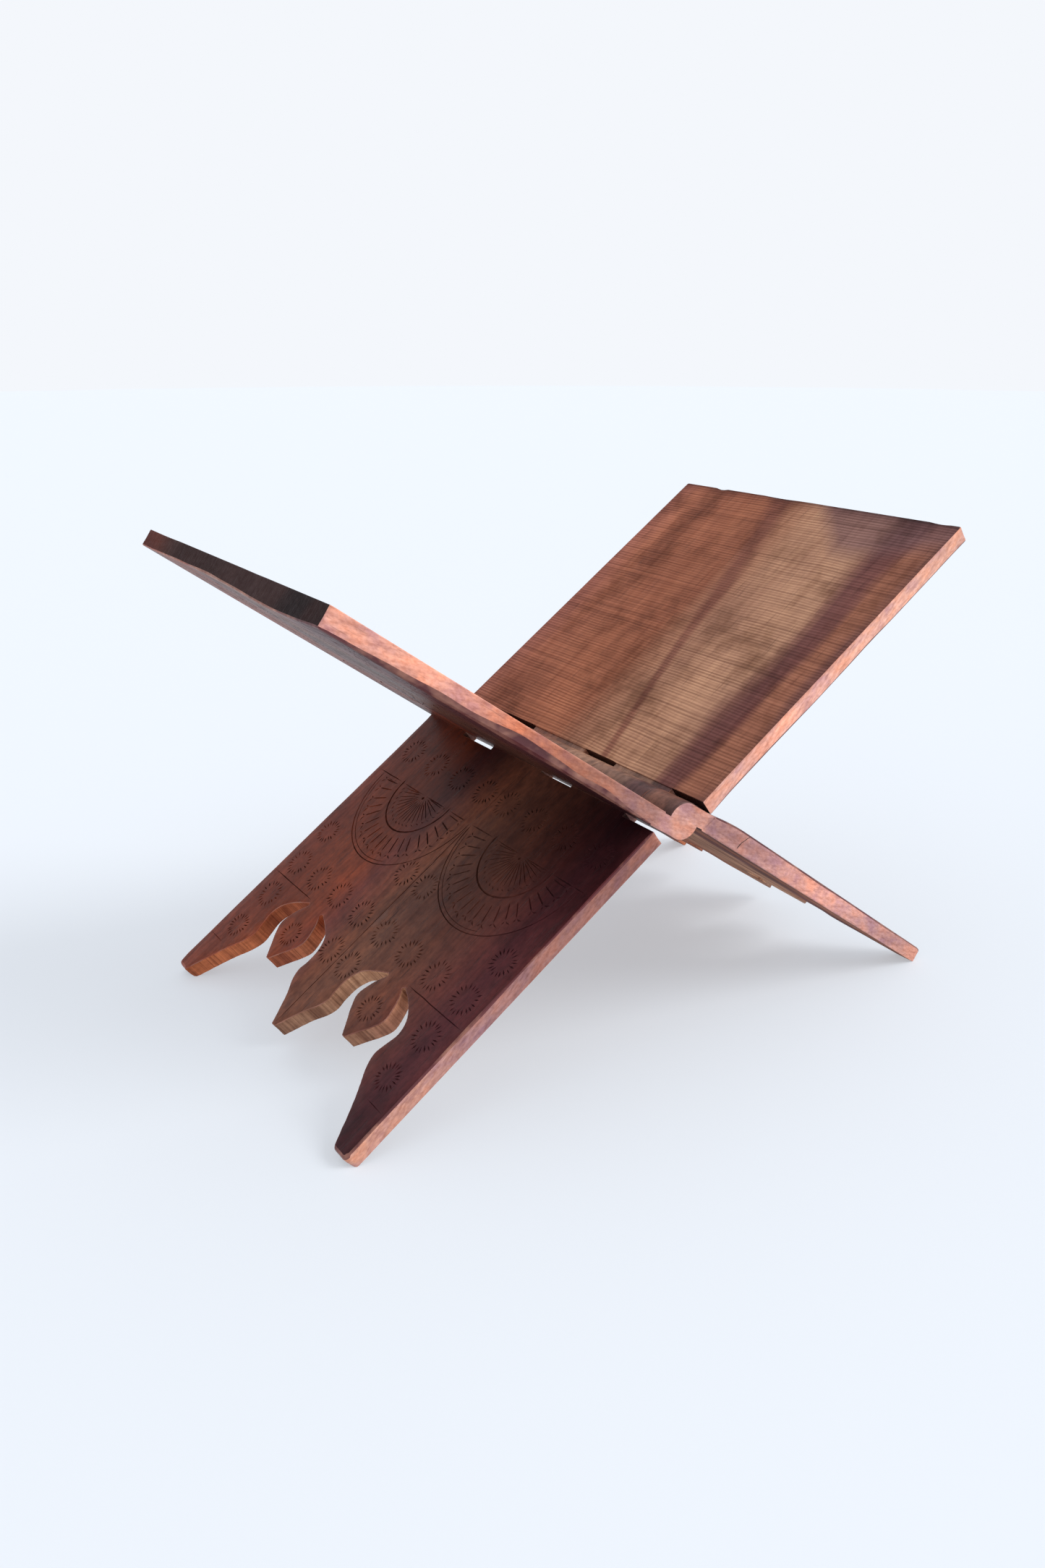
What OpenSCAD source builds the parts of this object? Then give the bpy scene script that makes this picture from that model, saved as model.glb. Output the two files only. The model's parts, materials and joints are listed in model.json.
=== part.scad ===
// Folding book stand carved from one plank.
// A saw cut through the middle of the thickness parts the plank into two
// leaves, which stay linked by a row of knuckles carved in the same wood.
// The leaves open like a pair of scissors: the two wings make a cradle for
// an open book, and the two scroll-sawn legs stand on the floor.
// Frame: +Z up, hinge axis along Y, origin on the floor below the hinge.

/* [Plank] */
// Width of the plank, measured along the hinge
plank_w = 200; // [170:1:260]
// Length of each wing, from the hinge axis to its top edge
wing_len = 197.5; // [150:0.5:260]
// Length of each leg, from the hinge axis to the foot tips
leg_len = 200.5; // [185:0.5:260]
// Thickness of the wood left in each leaf
leaf_t = 8.2; // [6:0.1:10]
// Width of the saw cut between the leaves
kerf = 1.2; // [0.8:0.1:2]
// Bevel along the outer edges of the leaves
ease = 0.8; // [0.3:0.1:1.5]

/* [Hinge] */
// Relative widths of the six knuckles, far end first, cut by hand
knuckles = [38, 28, 45, 25, 42, 22]; // [20:1:50]
// Distance from the hinge axis to the cut end beside each knuckle
slot_depth = 12.4; // [12:0.1:16]
// Extra shortening of the right leaf's leg ends, far end first
leg_slack = [2.2, 0.8, 1.8]; // [0:0.1:3]
// Gap between the sides of neighbouring knuckles
side_gap = 0.4; // [0.2:0.1:0.8]
// Angle short of hard contact at which the leaves are held open
stop_gap = 0.2; // [0.1:0.1:1]
// Depth chiselled below the sawn faces, between each knuckle and the saw cut
relief = 0.4; // [0.1:0.1:1]
// Facets around a knuckle
knuckle_fn = 72; // [36:12:96]

/* [Feet] */
// Distance from the plank's centre line to each pendant's centre line
arch_y = 43.5; // [40:0.5:46]
// Width of each foot at its tip
foot_w = 10; // [7:0.5:14]
// How far the middle tooth ends above the foot tips
tooth_short = 14.5; // [8:0.5:20]
// Width of the middle tooth's blunt tip
tooth_tip = 3; // [2:0.5:6]
// Half width of each pendant at its fullest
pendant_r = 13.8; // [11:0.2:15]
// Half width of the neck that each pendant hangs from
neck_r = 7; // [5:0.2:9]
// Height worn off the foot tips, which leaves small flats on the floor
foot_wear = 1.2; // [0.5:0.1:2]
// Points on each curved span
span_n = 6; // [3:1:10]

/* [View] */
// Which leaf to draw

/* [Hidden] */
k = kerf / 2;                  // inner faces stand this far off the cut's middle
R = k + leaf_t;                // knuckle radius, and outer faces' distance
stop_half = 90 - atan(R / slot_depth);
h = stop_half - stop_gap / 2;  // each leaf's lean from upright, standing open
axis_z = leg_len * cos(h) - k * sin(h) - foot_wear;
wood_out = [0.36, 0.20, 0.15];
wood_in = [0.55, 0.33, 0.20];
eps = 1;

// Knuckle boundaries from the far end (+Y) to the near end (-Y)
function sum(v, n) = n < 0 ? 0 : v[n] + sum(v, n - 1);
total = sum(knuckles, len(knuckles) - 1);
function edge_y(i) = plank_w / 2 - plank_w * sum(knuckles, i - 1) / total;
// Knuckles alternate: even ones belong to the right leaf, odd ones to the left
function ranges(first) = [for (i = [first : 2 : len(knuckles) - 1]) [edge_y(i + 1), edge_y(i)]];
function is_end(y) = abs(abs(y) - plank_w / 2) < 0.01;
// A knuckle keeps half the side gap at each inner boundary
function shrink(r) = [r[0] + (is_end(r[0]) ? 0 : side_gap / 2), r[1] - (is_end(r[1]) ? 0 : side_gap / 2)];
function grow(r) = [r[0] - (is_end(r[0]) ? eps : side_gap / 2), r[1] + (is_end(r[1]) ? eps : side_gap / 2)];

// Smooth curve through the points P, n steps on each span
function blend(a, b, c, d, t) = 0.5 * (2 * b + (c - a) * t + (2 * a - 5 * b + 4 * c - d) * t * t
    + (3 * b - a - 3 * c + d) * t * t * t);
function curve(P, n) = [for (i = [0 : len(P) - 2]) for (j = [0 : n - 1])
    blend(P[max(i - 1, 0)], P[i], P[i + 1], P[min(i + 2, len(P) - 1)], j / n), P[len(P) - 1]];

// The scroll-sawn opening round one pendant, as [distance from the pendant's
// centre line towards the side edge, distance up from the foot tips].
// Foot side: a sloping brace, a shoulder, then an arch that curls to the neck
foot_edge = [[plank_w / 2 - foot_w - arch_y, 0], [34.8, 19.5], [26.8, 30.5], [23.8, 37.7], [24.8, 43.5],
    [26.4, 50.5], [23.8, 57.3], [16.5, 63], [neck_r + 1, 67]];
// Middle side: the same arch, ending on the middle tooth
tooth_edge = [[-neck_r - 1, 67], [-16.5, 63.4], [-23, 59.6], [-26.6, 53.3], [-27.2, 46], [-26.4, 40.5],
    [-28.6, 35], [-34.2, 27.8], [tooth_tip / 2 - arch_y, tooth_short]];
// Pendant: one side of a bud that hangs from its neck to a blunt tip
bud_edge = [[neck_r, 66], [11.4, 59.5], [pendant_r, 51], [10.4, 44.7], [6.4, 40], [1, 33.4]];

function flip(P) = [for (i = [len(P) - 1 : -1 : 0]) [-P[i][0], P[i][1]]];
opening = concat(curve(foot_edge, span_n), curve(bud_edge, span_n), curve(flip(bud_edge), span_n),
    curve(tooth_edge, span_n), [[tooth_tip / 2 - arch_y, -eps], [foot_edge[0][0], -eps]]);

module slots(others, depth, slack) {
    for (i = [0 : len(others) - 1]) {
        r = grow(others[i]);
        d = depth + (slack == undef ? 0 : slack[i]);
        translate([r[0], -eps]) square([r[1] - r[0], d + eps]);
    }
}

module wing_outline(others) {
    difference() {
        translate([-plank_w / 2, 0]) square([plank_w, wing_len]);
        slots(others, slot_depth);
    }
}

// Drawn with the hinge at the bottom edge and the feet upwards
module leg_outline(others, slack) {
    difference() {
        translate([-plank_w / 2, 0]) square([plank_w, leg_len]);
        slots(others, slot_depth, slack);
        for (s = [-1, 1]) scale([s, 1]) translate([arch_y, leg_len]) scale([1, -1]) polygon(opening);
        // blunt tip of the middle tooth
        translate([-tooth_tip / 2 - 0.01, leg_len - tooth_short]) square([tooth_tip + 0.02, tooth_short + eps]);
    }
}

// The sawn part of an outline, and the short chiselled part beside the hinge
module sawn() {
    intersection() {
        children();
        translate([-plank_w / 2, slot_depth]) square([plank_w, leg_len + wing_len]);
    }
}

module chiselled() {
    intersection() {
        children();
        translate([-plank_w / 2, 0]) square([plank_w, slot_depth]);
    }
}

// Stands an outline up as a board of thickness t whose first face is at x
module board(x, t) {
    translate([x, 0, 0]) rotate([90, 0, 90]) linear_extrude(t) children();
}

module bevel(at, along, length) {
    translate(at) rotate(along) rotate([0, 0, 45])
        cube([ease * sqrt(2), ease * sqrt(2), length], center = true);
}

// One leaf, flat: wing upwards on the +X side of the cut, leg downwards on
// the -X side, joined by its own knuckles on the hinge axis
module leaf(own, others, slack) {
    difference() {
        union() {
            board(k, leaf_t) sawn() wing_outline(others);
            board(k + relief, leaf_t - relief) chiselled() wing_outline(others);
            mirror([0, 0, 1]) {
                board(-R, leaf_t) sawn() leg_outline(others, slack);
                board(-R, leaf_t - relief) chiselled() leg_outline(others, slack);
            }
            for (r = own) {
                s = shrink(r);
                translate([0, s[1], 0]) rotate([90, 0, 0]) cylinder(r = R, h = s[1] - s[0], $fn = knuckle_fn);
            }
        }
        for (s = [-1, 1]) {
            bevel([R, s * plank_w / 2, wing_len / 2 + 20], [0, 0, 0], wing_len);
            bevel([-R, s * plank_w / 2, -leg_len / 2 - 20], [0, 0, 0], leg_len);
        }
        bevel([R, 0, wing_len], [90, 0, 0], plank_w + 2 * eps);
    }
}

// Sets a leaf on the floor and levels its foot tips
module stand() {
    difference() {
        translate([0, 0, axis_z]) children();
        translate([-leg_len, -plank_w, -20]) cube([2 * leg_len, 2 * plank_w, 20]);
    }
}

// Left leaf: wing to the left, leg to the right, near end knuckle
module leaf_left() {
    color(wood_in)
        stand() rotate([0, -h, 0]) mirror([1, 0, 0]) leaf(ranges(1), ranges(0));
}

// Right leaf: wing to the right, leg to the left, far end knuckle
module leaf_right() {
    color(wood_out)
        stand() rotate([0, h, 0]) leaf(ranges(0), ranges(1), leg_slack);
}

leaf_left();
leaf_right();
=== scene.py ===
"""Folding book stand carved from one plank, on a plain pale floor.

Each leaf is one closed mesh, drawn in the flat plank's own frame and then
leaned over on the hinge axis. In that frame, in millimetres:
  m  across the thickness, 0 at the saw cut, + on the wing's outer side
  y  along the hinge, as in the CAD
  q  distance from the hinge, along the wing or along the leg
  s  the same with a sign, + along the wing and - along the leg
"""
import json
import math
import random
import bmesh
import bpy
import numpy as np
from mathutils import Matrix, Vector, noise
from mathutils.geometry import delaunay_2d_cdt


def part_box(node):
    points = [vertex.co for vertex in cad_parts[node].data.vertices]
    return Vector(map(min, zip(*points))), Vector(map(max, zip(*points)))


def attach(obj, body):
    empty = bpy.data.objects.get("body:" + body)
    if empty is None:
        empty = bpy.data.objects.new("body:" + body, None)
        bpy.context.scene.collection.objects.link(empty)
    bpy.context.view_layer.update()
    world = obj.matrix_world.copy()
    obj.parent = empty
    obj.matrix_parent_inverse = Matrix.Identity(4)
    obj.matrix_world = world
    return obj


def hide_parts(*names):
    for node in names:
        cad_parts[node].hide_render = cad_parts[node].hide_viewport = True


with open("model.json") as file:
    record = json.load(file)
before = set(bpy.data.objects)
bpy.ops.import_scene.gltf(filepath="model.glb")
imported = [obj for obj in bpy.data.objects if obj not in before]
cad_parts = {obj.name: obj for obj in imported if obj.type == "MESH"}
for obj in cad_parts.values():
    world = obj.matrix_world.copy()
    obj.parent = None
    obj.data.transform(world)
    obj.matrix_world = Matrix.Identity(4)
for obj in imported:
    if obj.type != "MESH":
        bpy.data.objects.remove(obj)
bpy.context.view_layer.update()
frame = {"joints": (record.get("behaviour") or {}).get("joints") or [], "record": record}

MM = 0.001

# ---- driving sizes, in mm, the same as the CAD's
hinge_at = Vector(frame["joints"][0]["pos_m"])
cradle = next(m for m in frame["record"]["mounts"] if m["name"] == "left_cradle")
tilt = math.atan2(cradle["axis"][2], cradle["axis"][0])
width = (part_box("leaf_left")[1].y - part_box("leaf_left")[0].y) / MM
half_w = width / 2
wing_len = 197.5
leg_len = 200.5
leaf_t = 8.2
half_kerf = 0.6
outer = half_kerf + leaf_t
ease = 0.8
knuckles = [38, 28, 45, 25, 42, 22]
slot_depth = 12.4
leg_slack = [2.2, 0.8, 1.8]
half_gap = 0.2
relief = 0.4
arch_y = 43.5
foot_w = 10
tooth_short = 14.5
tooth_tip = 3
pendant_r = 13.8
neck_r = 7

# ---- what the hand-made leaves have and the CAD leaves out, in mm
wing_corner = 1.2
foot_corner = 2.6
# bevels: at the feet, on the inner faces, in the cut-outs, in the slots, on the knuckles
foot_ease = 1.5
inner_ease = 0.25
saw_ease = 0.35
slot_ease = 0.2
knuckle_ease = 0.35
# the bevel of each wing's near long edge grows to this over a run from the top
left_near_ease = 3.4
right_near_ease = 1.1
near_ease_run = 110
# the left leaf bulges on the outside of its wing, and its leg swells past the hinge and
# thins to its feet
wing_bulge = 2.0
bulge_y = -62
bulge_spread = 48
bulge_from = 70
leg_swell = 2.3
swell_run = 26
leg_thin = 0.5
# broken places along the wings' top edges, each (y, half width, depth)
right_chips = [(69, 4.5, 0.9), (-88, 6, 0.5), (20, 14, 0.35)]
left_chips = [(80, 22, 1.2), (-30, 10, 0.4)]

# ---- the carved pattern, in mm: the fans, and the rows and columns of rosettes
fan_q = 54.0
fan_y = 46.0
fan_small = 24.0
fan_big = 45.0
fan_rays = 19
rosette_r = 8.5
small_rosette_r = 7.6
rosette_dashes = 19
hinge_row = 36.2
fan_side_row = 98.5
fan_tip_row = 92.0
low_row = 120.8
low_row_ys = [12.4, 36.75, 61.25, 86]
between_fans_y = 9.4
beside_fans_y = 87.5
leg_side_y = 84.5

# ---- marks on the wood, in mm: the crack, the dark streak and the purple wedge
crack_s = -37.4
streak_y = -26.4
streak_slope = 0.22
wedge_ys = (-55, -45)
wedge_s = 160

# ---- mesh detail, in mm
edge_step = 4.0
curve_steps = 9
arc_steps = 20
carved_step = 5.0
sawn_step = 5.0
# half the distance from one saw ridge to the next
saw_pitch = 0.85
# a point sunk deeper than this belongs to a knife cut
groove_from = 0.12
# a knuckle stays this far inside the plates' outer faces
skin = 0.04
# points closer than this count as being in one place
touch = 0.01

# the kinds of surface, in the order of make_materials, and the walls of an outline's edges
FACE, SAWN, EDGE, END, FRET, KNUCKLE, GROOVE, WORN = range(8)
WALL = {"side": EDGE, "end": END, "foot": END, "fret": FRET, "slot": END}


# ---------------------------------------------------------------- outlines

def knuckle_ranges(first):
    """(low y, high y) of the knuckles that one leaf owns, gap taken off."""
    ends = [half_w]
    for w in knuckles:
        ends.append(ends[-1] - w * width / sum(knuckles))
    out = []
    for i in range(first, len(knuckles), 2):
        low = ends[i + 1] + (half_gap if i + 1 < len(knuckles) else 0)
        high = ends[i] - (half_gap if i else 0)
        out.append((low, high))
    return out


def curve(points, steps):
    """Catmull-Rom curve through the points."""
    out = []
    last = len(points) - 1
    for i in range(last):
        a, b, c, d = (Vector(points[min(max(j, 0), last)]) for j in (i - 1, i, i + 1, i + 2))
        for j in range(steps):
            t = j / steps
            out.append(0.5 * (2 * b + (c - a) * t + (2 * a - 5 * b + 4 * c - d) * t * t
                              + (3 * b - a - 3 * c + d) * t ** 3))
    out.append(Vector(points[last]))
    return out


def opening():
    """The scroll-sawn opening round one pendant, foot side first.
    Each point is [distance from the pendant's centre line, height above the foot tips]."""
    foot_edge = [[half_w - foot_w - arch_y, 0], [34.8, 19.5], [26.8, 30.5], [23.8, 37.7],
                 [24.8, 43.5], [26.4, 50.5], [23.8, 57.3], [16.5, 63], [neck_r + 1, 67]]
    tooth_edge = [[-neck_r - 1, 67], [-16.5, 63.4], [-23, 59.6], [-26.6, 53.3], [-27.2, 46],
                  [-26.4, 40.5], [-28.6, 35], [-34.2, 27.8], [tooth_tip / 2 - arch_y, tooth_short]]
    bud_edge = [[neck_r, 66], [11.4, 59.5], [pendant_r, 51], [10.4, 44.7], [6.4, 40], [1, 33.4]]
    bud_back = [[-x, up] for x, up in reversed(bud_edge)]
    points = []
    for part in (foot_edge, bud_edge, bud_back, tooth_edge):
        points += curve(part, curve_steps)
    return points


class Outline:
    """A closed outline, anticlockwise in (y, q). Each point keeps its bevel,
    and the kind of the edge that leaves it."""

    def __init__(self):
        self.at = []
        self.kind = []
        self.bevel = []

    def add(self, y, q, kind, bevel):
        self.at.append(Vector((y, q)))
        self.kind.append(kind)
        self.bevel.append(bevel)

    def line(self, a, b, kind, bevel, step=edge_step):
        """Points from a up to, but not with, b."""
        a, b = Vector(a), Vector(b)
        n = max(1, round((b - a).length / step))
        for i in range(n):
            p = a.lerp(b, i / n)
            self.add(p.x, p.y, kind, bevel)


def corner(out, y, q, kind, bevel, r):
    """Rounds the outline's corner at (y, q), far from the hinge, with radius r."""
    turn = 1 if y > 0 else -1
    middle = Vector((y - turn * r, q - r))
    start = 0 if turn > 0 else math.pi / 2
    for i in range(5):
        a = start + math.pi / 2 * i / 4
        out.add(middle.x + r * math.cos(a), middle.y + r * math.sin(a), kind, min(bevel, r * 0.6))


def hinge_side(out, own, slack):
    """The side next to the hinge, from -y to +y: open where a knuckle joins on,
    and a short sawn end between the knuckles."""
    stretches = []
    low = -half_w
    for a, b in sorted(own):
        if a > low + 1:
            stretches.append((low, a, "slot"))
        stretches.append((a, b, "open"))
        low = b
    if low < half_w - 1:
        stretches.append((low, half_w, "slot"))
    depths = iter(reversed(slack))
    for a, b, kind in stretches:
        if kind == "open":
            out.line((a, slot_depth), (b, slot_depth), kind, 0)
            continue
        q = slot_depth + next(depths)
        if q > slot_depth and a > -half_w + 1:
            out.line((a, slot_depth), (a, q), "slot", 0)
        out.line((a, q), (b, q), "slot", slot_ease)
        if q > slot_depth and b < half_w - 1:
            out.line((b, q), (b, slot_depth), "slot", slot_ease)


def fade(out, own):
    """The bevels narrow towards the hinge, to none where a knuckle joins the plate."""
    at_hinge, growth = 0.3, 0.07
    for i, p in enumerate(out.at):
        if out.kind[i] == "side":
            out.bevel[i] = min(out.bevel[i], at_hinge + growth * (p.y - slot_depth))
        if any(on_hinge_side(p, low, high) for low, high in own):
            out.bevel[i] = 0


def on_hinge_side(p, low, high):
    """Whether an outline point lies on the hinge side, from low to high along the hinge."""
    return abs(p.y - slot_depth) < touch and low - touch <= p.x <= high + touch


def wing_outline(own, near_ease):
    """A rectangle with slots between the knuckles and small rounds at its top corners."""
    out = Outline()
    hinge_side(out, own, [0, 0, 0])
    r = wing_corner
    out.line((half_w, slot_depth), (half_w, wing_len - r), "side", ease)
    corner(out, half_w, wing_len, "end", ease, r)
    out.line((half_w - r - 2, wing_len), (r - half_w, wing_len), "end", ease, 2.5)
    corner(out, -half_w, wing_len, "side", ease, r)
    first = len(out.at)
    out.line((-half_w, wing_len - r - 2), (-half_w, slot_depth), "side", near_ease)
    for i in range(first, len(out.at)):
        down = wing_len - out.at[i].y
        out.bevel[i] = ease + (near_ease - ease) * min(1.0, down / near_ease_run)
    fade(out, own)
    return out


def leg_outline(own, slack):
    """Slots between the knuckles, two feet, a middle tooth between them, and a
    scroll-sawn opening round each pendant."""
    out = Outline()
    hinge_side(out, own, slack)
    r = foot_corner
    out.line((half_w, slot_depth), (half_w, leg_len - r), "side", ease)
    corner(out, half_w, leg_len, "foot", foot_ease, r)
    out.line((half_w - r - 1, leg_len), (half_w - foot_w, leg_len), "foot", foot_ease, 2)
    hole = opening()
    for p in hole[:-1]:
        out.add(arch_y + p.x, leg_len - p.y, "fret", saw_ease)
    tip = leg_len - tooth_short
    out.line((tooth_tip / 2, tip), (-tooth_tip / 2, tip), "foot", saw_ease, 1.5)
    for p in reversed(hole[1:]):
        out.add(-arch_y - p.x, leg_len - p.y, "fret", saw_ease)
    out.line((foot_w - half_w, leg_len), (r - half_w, leg_len), "foot", foot_ease, 2)
    corner(out, -half_w, leg_len, "side", foot_ease, r)
    out.line((-half_w, leg_len - r - 1), (-half_w, slot_depth), "side", ease)
    fade(out, own)
    return out


def wander(y, q, seed, size):
    """Smooth hand-made unevenness, at most about size."""
    return size * noise.noise(Vector((y / 9 + seed, q / 9 - seed, seed * 1.7)))


def inward(out):
    """The inward direction at every point, longer at corners so that offsets stay parallel."""
    n = len(out.at)
    dirs = []
    for i in range(n):
        a, b, c = out.at[i - 1], out.at[i], out.at[(i + 1) % n]
        na = Vector((a.y - b.y, b.x - a.x)).normalized()
        nb = Vector((b.y - c.y, c.x - b.x)).normalized()
        mid = na + nb
        if mid.length < 0.3:
            mid = na.copy()
        mid.normalize()
        dirs.append(mid / max(0.5, mid.dot(na)))
    return dirs


def chip(y, chips):
    """How deep the wing's top edge is broken away at y."""
    return sum(deep * max(0.0, 1 - ((y - at) / half) ** 2) for at, half, deep in chips)


def roughen(out, dirs, seed, chips):
    """Moves the outline inwards a little, as saw wobble and chips, and lets the bevels of
    the long edges and the wing's top vary."""
    for i, p in enumerate(out.at):
        if out.bevel[i] < 0.1:
            continue
        kind = out.kind[i]
        size = {"fret": 0.35, "foot": 0.3, "slot": 0.25}.get(kind, 0.22)
        push = abs(wander(p.x, p.y, seed, size)) * 0.6 + 0.02
        if kind == "fret":
            push += 0.09 * (i % 2) + 0.05 * random.random()
        if kind == "end":
            push += chip(p.x, chips)
        out.at[i] = p + dirs[i] * push
        if kind in ("side", "end"):
            worn = noise.noise(Vector((p.x / 23, p.y / 23, seed + 5)))
            out.bevel[i] *= 1 + 0.55 * worn


# ---------------------------------------------------------------- carving

class Cuts:
    """Knife cuts on a face: outlines at face level, and sunken middles."""

    def __init__(self):
        self.points = []
        self.edges = []
        self.sunk = {}

    def point(self, p, depth=0.0):
        self.points.append(Vector(p))
        if depth:
            self.sunk[len(self.points) - 1] = depth
        return len(self.points) - 1

    def path(self, nodes, wide, deep, taper=0.16):
        """A V cut along the nodes, pointed at both ends."""
        nodes = [Vector(p) for p in nodes]
        if len(nodes) == 2:
            a, b = nodes
            nodes = [a, a.lerp(b, taper), a.lerp(b, 0.5), a.lerp(b, 1 - taper), b]
        first = self.point(nodes[0])
        last = self.point(nodes[-1])
        left, middle, right = [first], [], [first]
        for i in range(1, len(nodes) - 1):
            along = (nodes[i + 1] - nodes[i - 1]).normalized()
            side = Vector((-along.y, along.x)) * wide / 2 * random.uniform(0.8, 1.15)
            left.append(self.point(nodes[i] + side))
            right.append(self.point(nodes[i] - side))
            middle.append(self.point(nodes[i], deep * random.uniform(0.8, 1.1)))
        left.append(last)
        right.append(last)
        for row in (left, right, middle):
            self.edges += list(zip(row, row[1:]))

    def dash(self, centre, angle, r0, r1, wide, deep):
        """A short cut that points away from the centre."""
        d = Vector((math.cos(angle), math.sin(angle)))
        c = Vector(centre)
        self.path([c + d * r0, c + d * ((r0 + r1) * 0.5), c + d * r1], wide, deep)


def rosette(cuts, y, q, r=rosette_r):
    """A ring of short knife dashes."""
    turn = random.random()
    for i in range(rosette_dashes):
        a = math.tau * (i + turn + random.uniform(-0.16, 0.16)) / rosette_dashes
        r1 = r * random.uniform(0.93, 1.05)
        cuts.dash((y, q), a, r1 - random.uniform(2.9, 4.2), r1,
                  random.uniform(0.75, 1.0), random.uniform(0.5, 0.75))


def pair(cuts, y, q, r=rosette_r):
    """Two rosettes, one on either side of the plank's middle."""
    for side in (1, -1):
        rosette(cuts, side * y, q, r)


def arc(centre, r, a0, a1, n):
    """Points along an arc from angle a0 to a1."""
    return [Vector((centre[0] + r * math.cos(a0 + (a1 - a0) * i / n),
                    centre[1] + r * math.sin(a0 + (a1 - a0) * i / n))) for i in range(n + 1)]


def fan(cuts, y, q):
    """A half-round fan that opens away from the hinge, inside a ring of petals."""
    middle = Vector((y, q))
    over = 2.0 / fan_small
    cuts.path(arc(middle, fan_small, -over, math.pi + over, 40), 0.95, 0.6)
    cuts.path(arc(middle, fan_big, 0.012, math.pi - 0.012, 56), 0.6, 0.45)
    cuts.path(arc(middle, fan_big - 2.1, 0.1, math.pi * 0.62, 36), 0.4, 0.25)
    cuts.path([(y, q + 0.7), (y + 0.05, q + 1.7), (y, q + 2.9)], 2.1, 0.9)
    for i in range(fan_rays):
        ray(cuts, middle, i)
    for i in range(fan_rays):
        petal(cuts, middle, i)


def ray(cuts, middle, i):
    """A ray of the fan, every other one longer, with a hooked tip."""
    a = math.pi * (i + 0.5 + random.uniform(-0.1, 0.1)) / fan_rays
    near = 3.3 if i % 2 else 4.9
    far = random.uniform(18.3, 19.2)
    d = Vector((math.cos(a), math.sin(a)))
    cuts.path([middle + d * near, middle + d * far], 0.5, 0.4)
    side = Vector((-d.y, d.x))
    tip = middle + d * (far + 0.35)
    cuts.path([tip, tip + d * 0.9 + side * 0.75, tip + d * 1.5 + side * 1.9], 0.65, 0.45)


def petal(cuts, middle, i):
    """A petal round the fan: a stem and two curved cuts that part at its tip."""
    a = math.pi * (i + 0.6 + random.uniform(-0.12, 0.12)) / fan_rays
    far = random.uniform(37.0, 38.6)
    d = Vector((math.cos(a), math.sin(a)))
    near = random.uniform(27.0, 28.2)
    cuts.path([middle + d * near, middle + d * far], 0.78, 0.5)
    side = Vector((-d.y, d.x))
    tip = middle + d * (far + 0.4)
    deep = random.uniform(0.4, 0.6)
    cuts.path([tip + side * 0.25, tip + d * 1.3 + side * 1.2, tip + d * 2.6 + side * 3.0],
              0.85, deep)
    cuts.path([tip - side * 0.25, tip + d * 0.8 - side * 0.9, tip + d * 1.5 - side * 1.9],
              0.95, deep)


def ruled(cuts, a, b, wide, deep, step=7.0):
    """A knife line along a ruler, with a little wobble."""
    a, b = Vector(a), Vector(b)
    n = max(2, round((b - a).length / step))
    side = Vector((a.y - b.y, b.x - a.x)).normalized()
    nodes = [a.lerp(b, i / n) + side * random.uniform(-0.12, 0.12) for i in range(n + 1)]
    cuts.path(nodes, wide, deep)


def fans(cuts):
    """The two fans, the broken line that they hang from, and a row of rosettes between
    them and the hinge."""
    strokes = ((96.5, 71.2), (68.8, 47.4), (44.6, 23.2), (20.8, 1.4))
    for side in (1, -1):
        fan(cuts, side * fan_y, fan_q)
        for a, b in strokes:
            ruled(cuts, (side * a, fan_q), (side * b, fan_q), 0.65, 0.5)
        ruled(cuts, (side * 89.5, fan_q + 2.0), (side * 72.6, fan_q + 2.2), 0.35, 0.25)
    for y in (10, 34, 59.3, 84.5):
        pair(cuts, y, hinge_row)


def leg_carving():
    """The legs' pattern, as the photo shows it on the right leaf."""
    cuts = Cuts()
    fans(cuts)
    # the middle line, then a line above each opening and one across each foot
    ruled(cuts, (0, 16), (0, 52.5), 0.4, 0.3)
    ruled(cuts, (0, 56), (0, 185), 0.55, 0.4)
    for side in (1, -1):
        ruled(cuts, (side * 98, 131.6), (side * 52, 131.6), 0.55, 0.4)
        ruled(cuts, (side * 98, 177.5), (side * 83.5, 177.5), 0.55, 0.4)
        for y in low_row_ys:
            rosette(cuts, side * y, low_row)
        rosette(cuts, side * beside_fans_y, fan_side_row, 7.8)
        rosette(cuts, side * leg_side_y, 143.0)
        rosette(cuts, side * arch_y, 150.6, small_rosette_r)
        rosette(cuts, side * leg_side_y, 165.5, small_rosette_r)
        rosette(cuts, side * 9.2, 143.0, 8.2)
        rosette(cuts, side * between_fans_y, fan_tip_row, 8.2)
    return cuts


def wing_carving():
    """Not seen in the photo: the legs' pattern again, with a ruled border."""
    cuts = Cuts()
    fans(cuts)
    ruled(cuts, (0, 16), (0, 52.5), 0.4, 0.3)
    ruled(cuts, (0, 56), (0, 108), 0.4, 0.3)
    for q in (109.5, 132.0, 188.0):
        ruled(cuts, (96.5, q), (-96.5, q), 0.45, 0.35)
    for q in (low_row, 145, 175):
        for y in low_row_ys:
            pair(cuts, y, q)
    for side in (1, -1):
        rosette(cuts, side * beside_fans_y, fan_side_row, 7.8)
        rosette(cuts, side * between_fans_y, fan_tip_row, 8.2)
        for y in (24.5, 49, 73.6):
            rosette(cuts, side * y, 160, 6.4)
    rosette(cuts, 0, 160, 6.4)
    return cuts


# ---------------------------------------------------------------- leaf mesh

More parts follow.
